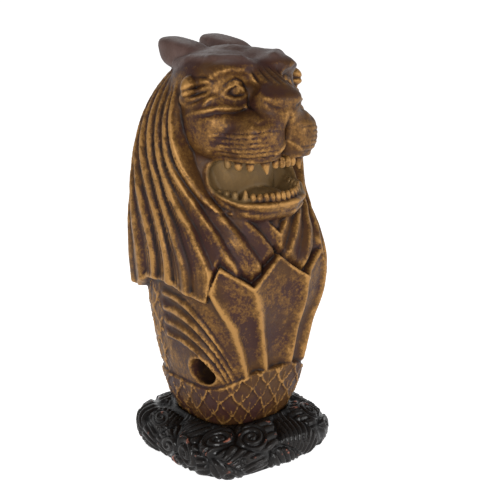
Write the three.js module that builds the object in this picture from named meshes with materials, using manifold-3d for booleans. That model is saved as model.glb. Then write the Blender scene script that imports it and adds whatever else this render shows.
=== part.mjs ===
// Ship figurehead: a roaring lion whose mane falls in flutes to a foot of upright leaves and swept
// grooves, in gilt wood, standing on a black plinth carved with waves.
// The front of the figure looks along -Y, and its base is at Z = 0.

import * as THREE from 'three';
import { mergeVertices } from 'three/addons/utils/BufferGeometryUtils.js';
import Module from 'manifold-3d';

// Driving dimensions, in millimetres
const plinthSide = 254;
const plinthHeight = 66;
const plinthEdgeHeight = 48;
const plinthFootRecess = 9;
const plinthPower = 3.8;
const plinthFootInset = 11;
const waveDepth = 3.5;
const waveCount = 16;
const figureHeight = 556;
const seatGap = 0.3;
const seatMargin = 4;
const drillDiameter = 42;
const drillDepth = 40;

// The figure is drawn 556 units high above its foot, and its carving follows its height
const drawnHeight = 556;
const scale = figureHeight / drawnHeight;

const gilding = { color: 0x8a5c2e, roughness: 0.42, metalness: 0.55 };
const blackPaint = { color: 0x17120f, roughness: 0.28, metalness: 0.0 };

const wasm = await Module();
wasm.setup();

const { PI, abs, cos, exp, hypot, max, min, sin, sqrt } = Math;
const radians = (angle) => (angle * PI) / 180;

// Helpers for curves and rounded forms

function clamp(value, low, high) {
  return min(max(value, low), high);
}

function ease(t) {
  const u = clamp(t, 0, 1);
  return u * u * (3 - 2 * u);
}

// Value at t on a smooth curve through the given points
function along(points, t) {
  const last = points.length - 1;
  const at = clamp(t, points[0][0], points[last][0]);
  let i = 0;
  while (i < last - 1 && points[i + 1][0] < at) i += 1;
  const slope = (k) => (points[k + 1][1] - points[k][1]) / (points[k + 1][0] - points[k][0]);
  const tangent = (k) => {
    if (k === 0) return slope(0);
    if (k === last) return slope(last - 1);
    const before = slope(k - 1);
    const after = slope(k);
    return before * after > 0 ? (2 * before * after) / (before + after) : 0;
  };
  const width = points[i + 1][0] - points[i][0];
  const u = (at - points[i][0]) / width;
  const start = (2 * u ** 3 - 3 * u ** 2 + 1) * points[i][1] + (u ** 3 - 2 * u ** 2 + u) * width * tangent(i);
  const end = (-2 * u ** 3 + 3 * u ** 2) * points[i + 1][1] + (u ** 3 - u ** 2) * width * tangent(i + 1);
  return start + end;
}

// Value at t on straight lines through the given points
function between(points, t) {
  const at = clamp(t, points[0][0], points[points.length - 1][0]);
  let i = 0;
  while (i < points.length - 2 && points[i + 1][0] < at) i += 1;
  const [t0, v0] = points[i];
  const [t1, v1] = points[i + 1];
  return v0 + ((v1 - v0) * (at - t0)) / (t1 - t0);
}

function join(a, b, blend) {
  const h = clamp(0.5 + (0.5 * (b - a)) / blend, 0, 1);
  return b + (a - b) * h - blend * h * (1 - h);
}

function carve(a, b, blend) {
  return -join(-a, b, blend);
}

// Distance from p to a rounded block with half sizes r about centre c, turned in degrees
function block(p, c, r, { power = 2, yaw = 0, pitch = 0, roll = 0 } = {}) {
  let [x, y, z] = [p[0] - c[0], p[1] - c[1], p[2] - c[2]];
  const [cy, sy] = [cos(radians(yaw)), sin(radians(yaw))];
  [x, y] = [x * cy - y * sy, x * sy + y * cy];
  const [cp, sp] = [cos(radians(pitch)), sin(radians(pitch))];
  [y, z] = [y * cp + z * sp, z * cp - y * sp];
  const [cr, sr] = [cos(radians(roll)), sin(radians(roll))];
  [x, z] = [x * cr + z * sr, z * cr - x * sr];
  const q = [abs(x) / r[0] + 1e-6, abs(y) / r[1] + 1e-6, abs(z) / r[2] + 1e-6];
  const sum = q[0] ** power + q[1] ** power + q[2] ** power;
  const steep = hypot(...q.map((v, i) => v ** (power - 1) / r[i]));
  return (sum ** (1 / power) - 1) / (sum ** (1 / power - 1) * steep + 1e-9);
}

// Distance from p to a string of rounded rods through the points, with a radius at each point
function rod(p, points, radii, blend) {
  let nearest = Infinity;
  for (let i = 0; i + 1 < points.length; i += 1) {
    const a = points[i];
    const d = points[i + 1].map((v, k) => v - a[k]);
    const v = p.map((value, k) => value - a[k]);
    const h = clamp((v[0] * d[0] + v[1] * d[1] + v[2] * d[2]) / (d[0] ** 2 + d[1] ** 2 + d[2] ** 2), 0, 1);
    const away = hypot(v[0] - d[0] * h, v[1] - d[1] * h, v[2] - d[2] * h);
    const distance = away - (radii[i] + (radii[i + 1] - radii[i]) * h);
    nearest = i === 0 ? distance : join(nearest, distance, blend);
  }
  return nearest;
}

// Distance out from the axis to a softly squared oval, at an angle from the front
function roundedSquare(angle, half, depth, power) {
  const across = abs(sin(radians(angle)) / half) ** power;
  const forward = abs(cos(radians(angle)) / depth) ** power;
  return (across + forward) ** (-1 / power);
}

// Body of the figure, in drawn units: height above the ground, and distance from the axis

const footLevel = 57;
const crownLevel = 604;
const shoulderLevel = 430;
const bodyPower = 3;
const bodyHalf = [
  [57, 67], [71, 74], [85, 81], [100, 86], [125, 92], [150, 98], [200, 106], [240, 111], [300, 113],
];
const bodyFront = [
  [57, 67], [71, 74], [85, 81], [100, 86], [125, 92], [150, 98], [200, 108], [240, 116], [290, 122],
  [330, 120],
];
const bodyBack = [
  [57, 66], [71, 73], [85, 80], [100, 85], [125, 91], [150, 97], [200, 105], [240, 109], [300, 111],
];
const maneFront = [[230, 112], [270, 117], [300, 118], [340, 111], [370, 102], [400, 80], [430, 74]];
const maneHalf = [[230, 117], [262, 119], [300, 121], [340, 121], [400, 118], [430, 116]];
const maneBack = [[230, 133], [262, 136], [300, 138], [340, 138], [400, 135], [430, 132]];
const maneSquareFront = [[290, 3.4], [340, 2.6], [370, 2.05], [600, 2]];
const maneSquareBack = [[400, 3.6], [480, 3], [600, 2.6]];
// Angle from the front at which the mane meets the face, by height
const faceEdge = [
  [360, -12], [367, 4], [376, 26], [390, 45], [412, 60], [450, 74], [500, 83], [550, 92], [604, 104],
];
const firstLock = [[230, 12], [300, 14], [350, 27], [400, 50], [450, 70], [500, 83], [550, 92], [604, 104]];
// Lower edge of the mane by angle: three leaf tips in front, then a plain hem to the back
const hem = [
  [0, 320], [21, 278], [38, 305], [49, 270], [64, 274], [90, 279], [112, 274], [126, 251], [180, 245],
];
const leafTop = 280;
const leafInner = [[125, 12], [leafTop, 20]];
const leafOuter = [[150, 31], [220, 36], [leafTop, 46]];
const leafFlare = 6;
const leafFlareFrom = 200;
const leafRim = 4.5;
const leafDish = 4.2;
const lockCount = 10;
const lockDepth = 7.5;
const strandEdge = 0.24;
const ridgeCount = 4;
const ridgeRadius = 4.6;
const ridgeBack = -12;
const ridgeLow = 128;
const ridgeReach = [88, 4.8];
const ridgeRise = [63, 22];
const ridgePower = 2.6;
const sideEnd = 100;
const drillForward = 50;
const drillLevel = 150;
const bandSideLevel = 125;
const bandFrontLevel = 150;
const bandThickness = 5;

// Level of the foot band's upper edge, which rises under the leaves
function bandEdge(angle) {
  return bandSideLevel + (bandFrontLevel - bandSideLevel) * ease((58 - angle) / 42);
}

// Three tall leaves on the front, standing proud of the mane, dished between raised edges
function leafRelief(angle, level) {
  const inner = between(leafInner, level);
  const outer = between(leafOuter, level);
  const middle = (inner + outer) / 2;
  const half = (outer - inner) / 2;
  const on = ease((level - bandEdge(angle) + 6) / 8);
  const rims = exp(-(((angle - inner) / 3.4) ** 2)) + exp(-(((angle - outer) / 3) ** 2));
  const dishes = max(0, 1 - (angle / inner) ** 2) + max(0, 1 - ((angle - middle) / half) ** 2);
  const flare = leafFlare * ease((level - leafFlareFrom) / 60) * ease((outer + 4 - angle) / 3);
  return on * (leafRim * rims - leafDish * dishes) + flare;
}

function stemRadius(angle, level) {
  const front = angle < 90;
  const depth = along(front ? bodyFront : bodyBack, level);
  const plain = roundedSquare(angle, along(bodyHalf, level), depth, bodyPower);
  const band = bandThickness * ease((bandEdge(angle) - level) / 4);
  return plain + band + leafRelief(angle, level);
}

// Height across one strand of the mane, which rises sharply from under its neighbour and falls away
function strand(lock) {
  const t = lock - Math.floor(lock);
  return t < strandEdge ? t / strandEdge : 1 - ((t - strandEdge) / (1 - strandEdge)) ** 1.3;
}

function maneRadius(angle, level) {
  const rise = clamp((level - shoulderLevel) / (crownLevel - shoulderLevel), 0, 1);
  const dome = sqrt(max(0, 1 - rise * rise));
  const low = min(level, shoulderLevel);
  const front = angle < 90;
  const half = along(maneHalf, low) * dome + 1;
  const depth = along(front ? maneFront : maneBack, low) * dome + 1;
  const plain = roundedSquare(angle, half, depth, along(front ? maneSquareFront : maneSquareBack, level));
  const start = along(firstLock, level);
  const lock = (lockCount * (angle - start)) / (180 - start);
  const deep = (0.35 + 0.65 * ease((600 - level) / 150)) * lockDepth;
  const outer = plain + deep * (strand(lock) - 0.45);
  const open = ease((along(faceEdge, level) - angle) / 7);
  const rim = 4 * exp(-(((angle - along(faceEdge, level) - 3) / 3.2) ** 2)) * ease((level - 372) / 12);
  return (outer + rim) * (1 - open) + min(outer, throatReach) * open;
}

// Head, as a distance from the point p: side (both sides alike), forward and level

const mouthCentre = [0, 80, 429];
const mouthHalf = [76, 66, 30];
const mouthPower = 2.9;
const noseBreadth = 1.6;
const noseCentre = [0, 103, 540];
const noseHalf = [34, 25, 17];
const crestCentre = [37, -54, 587];
const crestHalf = [22, 50, 23];
const crestLean = 0.45;
const tongueCentre = [0, 62, 398];
const tongueHalf = [30, 44, 12];
const chinUnderside = 350;
const throatReach = 62;

function headDistance(p) {
  let d = block(p, [0, 2, 530], [91, 76, 68], { power: 2.4 });
  d = join(d, block(p, [36, 10, 566], [46, 58, 31]), 14);
  d = join(d, block(p, [42, 56, 580], [34, 23, 14], { roll: -6, yaw: 22 }), 9);
  const nosebridge = [[0, 58, 568], [0, 102, 548]];
  d = join(d, rod([p[0] / noseBreadth, p[1], p[2]], nosebridge, [18, 16], 1), 12);
  d = join(d, block(p, [0, 94, 520], [36, 38, 26]), 12);
  d = join(d, block(p, [28, 88, 489], [38, 46, 36], { yaw: 6, power: 2.5 }), 10);
  d = join(d, block(p, [37, 66, 484], [32, 44, 30]), 12);
  d = join(d, block(p, [58, 34, 500], [38, 44, 46]), 14);
  const jaw = [[0, 103, 391], [22, 100, 391], [42, 88, 393], [56, 66, 400], [66, 40, 412], [72, 18, 430]];
  let chin = rod(p, jaw, [15, 15, 15, 14, 14, 16], 10);
  chin = join(chin, block(p, [0, 44, 382], [60, 62, 18], { power: 2.4 }), 12);
  chin = join(chin, block(p, [64, 10, 440], [26, 32, 46]), 12);
  d = join(d, chin, 6);
  d = carve(d, rod(p, [[0, 140, 528], [0, 137, 462]], [5, 5], 1), 5);
  d = join(d, rod(p, [[86, 26, 541], [66, 54, 533], [44, 76, 532]], [5, 5, 4], 3), 5);
  return carve(d, block(p, [50, 80, 552], [22, 19, 12], { roll: -8, yaw: 26 }), 7);
}

// Distance from the point from, along the unit direction, to the head's outermost face, or 0
function headReach(from, direction) {
  const far = 175;
  const near = 20;
  const stride = 4;
  const at = (reach) => {
    const p = from.map((v, k) => v + direction[k] * reach);
    return headDistance([abs(p[0]), p[1], p[2]]);
  };
  for (let reach = far; reach > near; reach -= stride) {
    if (at(reach) < 0) {
      let [inside, outside] = [reach, reach + stride];
      for (let round = 0; round < 12; round += 1) {
        const middle = (inside + outside) / 2;
        if (at(middle) < 0) inside = middle;
        else outside = middle;
      }
      return inside;
    }
  }
  return 0;
}

// Distance from the axis to the face of the figure
function bodyReach(angle, level) {
  const side = abs(angle);
  const hemLevel = between(hem, side);
  let reach = level < hemLevel ? stemRadius(side, level) : maneRadius(side, level);
  if (level > chinUnderside) {
    const direction = [sin(radians(angle)), cos(radians(angle)), 0];
    reach = max(reach, headReach([0, 0, level], direction));
  }
  return reach;
}

// Angles of one side's columns: on the foot, and higher up following the locks of the mane
function footAngles(level) {
  const inner = between(leafInner, level);
  const outer = between(leafOuter, level);
  const middle = (inner + outer) / 2;
  const edge = 3.5;
  const sideStart = outer + edge;
  const sideSteps = 7;
  const backSteps = 6;
  const angles = [0, inner / 2, inner - edge, inner, inner + edge, middle, outer - edge, outer, sideStart];
  for (let i = 1; i <= sideSteps; i += 1) angles.push(sideStart + (i * (sideEnd - sideStart)) / sideSteps);
  for (let i = 1; i <= backSteps; i += 1) angles.push(sideEnd + (i * (180 - sideEnd)) / backSteps);
  return angles;
}

function maneAngles(level, faceSteps) {
  const start = along(firstLock, level);
  const pitch = (180 - start) / lockCount;
  const angles = [];
  for (let i = 0; i < faceSteps; i += 1) angles.push((i * start) / faceSteps);
  for (let i = 0; i < lockCount; i += 1) angles.push(start + i * pitch, start + (i + strandEdge) * pitch);
  angles.push(180);
  return angles;
}

// The same angles all round, from the back by the left side, the front and the right side
function bothSides(angles) {
  const left = angles.slice(1).reverse().map((angle) => -angle);
  return [...left, ...angles.slice(0, -1)];
}

function place(side, forward, level) {
  return [side * scale, -forward * scale, (level - footLevel) * scale];
}

// Ring of points on the figure's face, each with its angle and its own level
function faceRing(angles, levelAt) {
  return bothSides(angles).map((angle) => {
    const level = levelAt(abs(angle));
    const reach = bodyReach(angle, level);
    return { angle, at: place(reach * sin(radians(angle)), reach * cos(radians(angle)), level) };
  });
}

// Closed skin over a stack of rings, whose point counts may differ, with a centre at each end
function skin(rings, bottom, top) {
  const points = [bottom];
  const faces = [];
  let below = null;
  for (const ring of rings) {
    const current = { start: points.length, count: ring.length, angles: ring.map((point) => point.angle) };
    points.push(...ring.map((point) => point.at));
    if (below === null) {
      for (let i = 0; i < current.count; i += 1) {
        faces.push([0, current.start + ((i + 1) % current.count), current.start + i]);
      }
    } else {
      faces.push(...strip(below, current));
    }
    below = current;
  }
  points.push(top);
  for (let i = 0; i < below.count; i += 1) {
    faces.push([points.length - 1, below.start + i, below.start + ((i + 1) % below.count)]);
  }
  return solid(points, faces);
}

// Triangles between two rings: column to column, or where their counts differ, taking the next step
// on whichever ring is behind as they go round
function strip(below, above) {
  const faces = [];
  const sameColumns = below.count === above.count;
  const angleAfter = (ring, i) => (i + 1 < ring.count ? ring.angles[i + 1] : 180);
  let i = 0;
  let j = 0;
  while (i < below.count || j < above.count) {
    const a = below.start + (i % below.count);
    const b = above.start + (j % above.count);
    const behind = sameColumns ? i <= j : angleAfter(below, i) <= angleAfter(above, j);
    const stepBelow = j >= above.count || (i < below.count && behind);
    if (stepBelow) {
      faces.push([a, below.start + ((i + 1) % below.count), b]);
      i += 1;
    } else {
      faces.push([a, above.start + ((j + 1) % above.count), b]);
      j += 1;
    }
  }
  return faces;
}

function solid(points, faces) {
  return new wasm.Manifold(new wasm.Mesh({
    numProp: 3,
    vertProperties: Float32Array.from(points.flat()),
    triVerts: Uint32Array.from(faces.flat()),
  }));
}

// Rounded block as a closed solid of its own, from a sphere whose points are pushed out, and whose
// top may lean back
function roundedSolid(centre, half, options = {}) {
  const { power = 2, across = 16, down = 10, yaw = 0, pitch = 0, roll = 0, lean = 0, side = 1 } = options;
  const geometry = new THREE.SphereGeometry(1, across, down);
  geometry.rotateX(PI / 2);
  const position = geometry.getAttribute('position');
  const turn = new THREE.Euler(radians(pitch), radians(roll), radians(yaw), 'ZXY');
  const point = new THREE.Vector3();
  for (let i = 0; i < position.count; i += 1) {
    point.fromBufferAttribute(position, i);
    const sum = abs(point.x) ** power + abs(point.y) ** power + abs(point.z) ** power;
    point.multiplyScalar(sum ** (-1 / power));
    point.multiply(new THREE.Vector3(...half)).applyEuler(turn);
    const forward = centre[1] + point.y - lean * point.z;
    const [x, y, z] = place((centre[0] + point.x) * side, forward, centre[2] + point.z);
    position.setXYZ(i, x, y, z);
  }
  // Mirroring forward to -Y turns the faces once, and a left-hand copy turns them back
  return fromGeometry(geometry, side > 0);
}

function fromGeometry(geometry, flip) {
  geometry.deleteAttribute('normal');
  geometry.deleteAttribute('uv');
  const merged = mergeVertices(geometry, 1e-4);
  const index = Array.from(merged.index.array);
  if (flip) {
    for (let i = 0; i < index.length; i += 3) [index[i], index[i + 1]] = [index[i + 1], index[i]];
  }
  return new wasm.Manifold(new wasm.Mesh({
    numProp: 3,
    vertProperties: Float32Array.from(merged.getAttribute('position').array),
    triVerts: Uint32Array.from(index),
  }));
}

function meshOf(manifold, name, material) {
  const mesh = manifold.getMesh();
  const geometry = new THREE.BufferGeometry();
  geometry.setAttribute('position', new THREE.BufferAttribute(Float32Array.from(mesh.vertProperties), 3));
  geometry.setIndex(new THREE.BufferAttribute(Uint32Array.from(mesh.triVerts), 1));
  geometry.computeVertexNormals();
  const node = new THREE.Mesh(geometry, new THREE.MeshStandardMaterial(material));
  node.name = name;
  return node;
}

// Figure

function figureCore() {
  const rings = [];
  const footRows = 5;
  const overEdge = 4;
  for (let i = 0; i <= footRows; i += 1) {
    const levelAt = (side) => footLevel + ((bandEdge(side) - footLevel) * i) / footRows;
    rings.push(faceRing(footAngles(bandSideLevel), levelAt));
  }

  // Rows that rise from the band to the hem
  const leafRows = 8;
  const hemGap = 0.6;
  for (let i = 0; i <= leafRows; i += 1) {
    const share = i / leafRows;
    const levelAt = (side) => {
      const start = bandEdge(side) + overEdge;
      return start + (between(hem, side) - hemGap - start) * share;
    };
    rings.push(faceRing(footAngles(bandSideLevel + (leafTop - bandSideLevel) * share), levelAt));
  }

  // Rows from the hem up to the chin, along the locks
  const chestTop = 362;
  const chestRows = 7;
  const faceColumns = 11;
  for (let i = 0; i <= chestRows; i += 1) {
    const levelAt = (side) => {
      const start = between(hem, side) + hemGap;
      return start + ((chestTop - start) * i) / chestRows;
    };
    const angles = maneAngles(300, faceColumns).map((angle, k) => {
      const nearer = maneAngles(levelAt(angle), faceColumns)[k];
      return maneAngles(levelAt(nearer), faceColumns)[k];
    });
    rings.push(faceRing(angles, levelAt));
  }

  // Rows of the head, closer together about the eyes and the nose
  const eyesFrom = 522;
  const mouthRow = 13;
  const eyeRow = 8.5;
  const hub = 572;
  let level = chestTop + mouthRow;
  while (level < hub) {
    const rowLevel = level;
    rings.push(faceRing(maneAngles(level, faceColumns), () => rowLevel));
    level += level < eyesFrom ? mouthRow : eyeRow;
  }
  for (const lift of [14, 32, 56]) rings.push(crownRing(hub, lift, maneAngles(hub, faceColumns)));
  const top = headReach([0, 0, hub], [0, 0, 1]);
  return skin(rings, place(0, 0, footLevel), place(0, 0, hub + top));
}

// Ring over the crown, where rays fan out upward from a hub inside the head
function crownRing(hub, lift, angles) {
  const flat = cos(radians(lift));
  const rise = sin(radians(lift));
  return bothSides(angles).map((angle) => {
    const direction = [sin(radians(angle)) * flat, cos(radians(angle)) * flat, rise];
    let reach = headReach([0, 0, hub], direction);
    const maneTop = crownLevel - 1;
    for (let trial = 140; trial > reach; trial -= 1) {
      const level = hub + rise * trial;
      if (level < maneTop && maneRadius(abs(angle), level) > trial * flat) reach = trial;
    }
    return { angle, at: place(direction[0] * reach, direction[1] * reach, hub + direction[2] * reach) };
  });
}

function headTrimmings(side) {
  const parts = [];
  const ear = { yaw: 30, roll: 24, across: 10, down: 6, side };
  parts.push(roundedSolid([91, 25, 553], [18, 10, 17], ear));
  parts.push(roundedSolid([47, 58, 550], [16, 13, 10], { yaw: -26, across: 10, down: 6, side }));
  const crest = { power: 3.2, pitch: -6, lean: crestLean, across: 12, down: 8, side };
  parts.push(roundedSolid(crestCentre, crestHalf, crest));
  const fang = { across: 6, down: 6, side };
  parts.push(roundedSolid([29, 112, 449], [6, 6, 18], fang));
  parts.push(roundedSolid([47, 92, 408], [6, 6, 16], fang));
  const lowerGum = 404;
  const toothHalf = [4.2, 4.6, 9];
  const lowerTeeth = [[4.6, 111], [13.8, 110], [22.8, 107.6], [31, 104], [38.5, 99]];
  for (const [across, forward] of lowerTeeth) {
    parts.push(roundedSolid([across, forward, lowerGum], toothHalf, { across: 5, down: 4, side }));
  }
  return parts;
}

// Ridges swept over the drilled hole, as tapered rods laid on the flank, each a quarter of a squared oval
function sweptRidge(index, side) {
  const steps = 7;
  const around = 4;
  const reach = ridgeReach[0] + ridgeReach[1] * index;
  const rise = ridgeRise[0] + ridgeRise[1] * index;
  const pathAt = (share) => {
    const turn = (share * PI) / 2;
    const forward = ridgeBack + reach * sin(turn) ** (2 / ridgePower);
    const level = ridgeLow + rise * cos(turn) ** (2 / ridgePower);
    const depth = along(forward > 0 ? bodyFront : bodyBack, level);
    const across = along(bodyHalf, level) * (1 - abs(forward / depth) ** bodyPower) ** (1 / bodyPower);
    return new THREE.Vector3(across - 1, forward, level);
  };
  const rings = Array.from({ length: steps + 1 }, (_, i) => {
    const centre = pathAt(i / steps);
    const run = pathAt(min(i / steps + 0.02, 1)).sub(pathAt(max(i / steps - 0.02, 0))).normalize();
    const out = new THREE.Vector3(centre.x, centre.y, 0).normalize();
    const across = new THREE.Vector3().crossVectors(run, out).normalize();
    const radius = ridgeRadius * (0.35 + 0.65 * sin((PI * (i + 0.7)) / (steps + 1.4)));
    return Array.from({ length: around }, (_, k) => {
      const angle = -180 + (k * 360) / around;
      const offset = out.clone().multiplyScalar(radius * cos(radians(angle)));
      const at = centre.clone().add(offset).addScaledVector(across, -side * radius * sin(radians(angle)));
      return { angle, at: place(side * at.x, at.y, at.z) };
    });
  });
  const end = (share) => {
    const at = pathAt(share);
    return place(side * at.x, at.y, at.z);
  };
  return skin(rings, end(0), end(1));
}

function drilledHole(side) {
  const cutter = new THREE.CylinderGeometry(drillDiameter / 2, drillDiameter / 2, 2 * drillDepth, 24);
  cutter.rotateZ(PI / 2);
  const flank = stemRadius(60, drillLevel) * sin(radians(60)) * scale;
  cutter.translate(side * flank, -drillForward * scale, (drillLevel - footLevel) * scale);
  return fromGeometry(cutter, false);
}

function figure() {
  let whole = figureCore();
  const mouth = roundedSolid(mouthCentre, mouthHalf, { power: mouthPower, across: 18, down: 10 });
  whole = whole.subtract(mouth);
  whole = whole.add(roundedSolid(tongueCentre, tongueHalf, { across: 12, down: 6 }));
  whole = whole.add(roundedSolid(noseCentre, noseHalf, { power: 2.8, pitch: -16, across: 12, down: 8 }));
  for (const side of [-1, 1]) {
    for (const part of headTrimmings(side)) whole = whole.add(part);
    for (let i = 0; i < ridgeCount; i += 1) whole = whole.add(sweptRidge(i, side));
    whole = whole.subtract(drilledHole(side));
  }
  const mesh = meshOf(whole, 'figure', gilding);
  mesh.position.z = plinthHeight - plinthFootRecess + seatGap;
  return mesh;
}

// Plinth: a rounded square whose top slopes up in carved waves to a flat seat under the figure

// Ring of the plinth, drawn in from its bowed sides and pushed in and out by the waves
function plinthRing(inset, level, wave) {
  const count = 4 * waveCount;
  return Array.from({ length: count }, (_, i) => {
    const angle = -180 + (i * 360) / count;
    const crest = wave * waveDepth * cos((2 * PI * i) / 4);
    const half = plinthSide / 2 - inset;
    const reach = roundedSquare(angle, half, half, plinthPower) + crest;
    return { angle, at: [reach * sin(radians(angle)), -reach * cos(radians(angle)), level + crest / 2] };
  });
}

// Round ring just outside the figure's foot
function seatRing(reach, level) {
  const count = 4 * waveCount;
  return Array.from({ length: count }, (_, i) => {
    const angle = -180 + (i * 360) / count;
    const out = roundedSquare(angle, reach, reach, 3);
    return { angle, at: [out * sin(radians(angle)), -out * cos(radians(angle)), level] };
  });
}

function plinth() {
  const seat = (bodyHalf[0][1] + bandThickness) * scale + seatMargin;
  const seatLevel = plinthHeight - plinthFootRecess;
  const slope = plinthHeight - plinthEdgeHeight;
  const rings = [
    plinthRing(plinthFootInset, 0, 0),
    plinthRing(plinthFootInset / 2, plinthEdgeHeight * 0.18, 0.2),
    plinthRing(waveDepth, plinthEdgeHeight * 0.45, 1),
    plinthRing(waveDepth, plinthEdgeHeight * 0.72, -1),
    plinthRing(waveDepth + 4, plinthEdgeHeight * 0.95, 1),
    plinthRing(plinthSide / 2 - seat * 1.22, plinthEdgeHeight + slope * 0.6, -0.6),
    seatRing(seat + 6, plinthHeight - 1),
    seatRing(seat + 1.5, plinthHeight),
    seatRing(seat, seatLevel),
  ];
  const whole = skin(rings, [0, 0, 0], [0, 0, seatLevel]);
  return meshOf(whole, 'plinth', blackPaint);
}

const figurehead = new THREE.Group();
figurehead.add(plinth(), figure());

export default figurehead;
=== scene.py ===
"""Ship figurehead: a roaring lion in worn gilt wood on a black plinth carved with curls."""

import math

import bpy
import numpy as np
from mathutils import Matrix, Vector


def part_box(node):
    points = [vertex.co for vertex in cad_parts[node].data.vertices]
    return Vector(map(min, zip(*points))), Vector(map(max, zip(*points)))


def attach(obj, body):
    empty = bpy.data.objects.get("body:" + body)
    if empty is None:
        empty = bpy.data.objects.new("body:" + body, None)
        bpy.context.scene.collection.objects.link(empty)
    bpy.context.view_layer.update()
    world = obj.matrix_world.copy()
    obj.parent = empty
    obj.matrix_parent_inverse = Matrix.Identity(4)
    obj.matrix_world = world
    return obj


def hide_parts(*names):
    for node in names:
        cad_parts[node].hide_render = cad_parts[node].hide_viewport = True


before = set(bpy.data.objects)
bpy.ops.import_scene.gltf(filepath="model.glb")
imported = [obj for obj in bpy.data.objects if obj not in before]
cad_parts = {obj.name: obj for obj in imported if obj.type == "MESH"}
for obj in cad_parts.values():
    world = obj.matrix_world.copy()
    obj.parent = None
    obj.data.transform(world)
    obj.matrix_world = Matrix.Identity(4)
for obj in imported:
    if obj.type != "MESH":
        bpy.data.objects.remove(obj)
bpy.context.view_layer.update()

PI = math.pi

# Frame: the figure is drawn in units of about a millimetre, set by its height, from level 57 at its foot

figure_low, figure_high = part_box("figure")
plinth_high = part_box("plinth")[1]
DRAWN_FOOT = 57.0
DRAWN_TOP = 611.6
UNIT = (figure_high[2] - figure_low[2]) / (DRAWN_TOP - DRAWN_FOOT)

# Camera, from the photograph: turned 38 degrees to the figure's right and a little above its head

IMAGE_SIZE = 500
CAMERA_TURN = math.radians(-38.0)
CAMERA_DISTANCE = 1.6
CAMERA_HEIGHT = 0.76
CAMERA_AIM_HEIGHT = 0.304
CAMERA_AIM_SHIFT = 0.028
FOCAL_PIXELS = 1125
SENSOR = 36.0

# Body and mane, in drawn units: a half width, a depth, a power or an angle at each level

CROWN_LEVEL = 604.0
SHOULDER_LEVEL = 430.0
BODY_HALF = [
    (57, 67), (71, 74), (85, 81), (100, 86), (125, 92), (150, 98), (200, 106), (240, 111), (300, 113),
]
BODY_FRONT = [
    (57, 67), (71, 74), (85, 81), (100, 86), (125, 92), (150, 98), (200, 108), (240, 116), (290, 122),
    (330, 120),
]
BODY_BACK = [
    (57, 66), (71, 73), (85, 80), (100, 85), (125, 91), (150, 97), (200, 105), (240, 109), (300, 111),
]
BODY_POWER = 3.0
MANE_FRONT = [(230, 112), (270, 117), (300, 118), (340, 111), (370, 102), (400, 80), (430, 74)]
MANE_HALF = [(230, 117), (262, 119), (300, 121), (340, 121), (400, 118), (430, 116)]
MANE_BACK = [(230, 133), (262, 136), (300, 138), (340, 138), (400, 135), (430, 132)]
MANE_POWER_FRONT = [(290, 3.4), (340, 2.6), (370, 2.05), (600, 2.0)]
MANE_POWER_BACK = [(400, 3.6), (480, 3.0), (600, 2.6)]
FACE_EDGE = [
    (369, -12), (375, 6), (381, 26), (390, 45), (412, 60), (450, 74), (500, 83), (550, 92), (604, 104),
]
FACE_REACH = 62.0
FACE_RIM_HEIGHT = 4.0
FIRST_LOCK = [
    (230, 12), (300, 14), (350, 27), (400, 50), (450, 70), (500, 83), (550, 92), (604, 104),
]
LOCK_COUNT = 10
LOCK_DEPTH = 7.5
STRAND_EDGE = 0.24
STRAND_GROUND = 0.45
GOUGE_DEPTH = 0.5
SIDE_GOUGE_DEPTH = 1.8

# Lower edge of the mane: a level at each angle from the front's middle, folded beside the leaves

HEM = [(0, 325), (21, 288), (41, 316), (50, 264), (64, 270), (90, 279), (112, 274), (126, 251), (180, 245)]
FOLD_START = 46.0
FOLD_END = 130.0
FOLD_HEIGHT = 2.4

# Tall leaves on the front: the angles between them and beside them, and how they lean, at each level

LEAF_TOP = 280
LEAF_INNER = [(125, 12), (LEAF_TOP, 20)]
LEAF_OUTER = [(150, 31), (220, 36), (LEAF_TOP, 46)]
LEAF_LEAN = [(140, 5), (LEAF_TOP, -4)]
LEAF_FLARE = 6.0
FLARE_START = 200.0
LEAF_RIM_HEIGHT = 5.0
LEAF_DISH_DEPTH = 5.2
LEAF_TIP_HEIGHT = 2.0
UNDER_LEAF_DEPTH = 9.0
STEM_TOP = 335.0

# Swept ridges on each side, numbered outward from the drilled hole: reach and rise of the first, and steps

RIDGE_COUNT = 4
RIDGE_BACK = -12.0
RIDGE_LOW = 128.0
RIDGE_REACH = (88.0, 4.8)
RIDGE_RISE = (63.0, 22.0)
RIDGE_POWER = 2.6
RIDGE_HEIGHT = 6.0
RIDGE_WIDTH = 0.28
RIDGE_GROUND = 0.4
RIDGE_FULL_SPACING = 10.0
SIDE_END = 100.0

# Foot band and the small leaves on it and on the back: how many go round, and their rows' spacing

BAND_SIDE_LEVEL = 125.0
BAND_FRONT_LEVEL = 150.0
BAND_RISE_START = 58.0
BAND_RISE_SPAN = 42.0
BAND_THICKNESS = 5.0
BAND_LEAVES = 21
BAND_ROW = 20.0
BAND_GROUND = 2.2
BACK_LEAVES = 25
BACK_ROW = 22.0
BACK_GROUND = 1.6
SMALL_LEAF_HEIGHT = 3.4
TIP_START = 0.35
TIP_POWER = 1.9

# Drilled hole on each side

DRILL_FORWARD = 50.0
DRILL_LEVEL = 150.0
DRILL_RADIUS = 20.0
DRILL_DEPTH = 36.0
DRILL_FACE = 92.0
LIP_WIDTH = 3.0
LIP_HEIGHT = 2.2

# Levels where the body ends, and where the mane, the head and the part above the drilled hole start

BODY_END = 345.0
MANE_START = 225.0
HEAD_START = 340.0
DRILL_END = 185.0

# Grid for the mesh, in drawn units: finer on the face and the foot than elsewhere. Each axis has its
# ends, and spans with a step of their own

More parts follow.
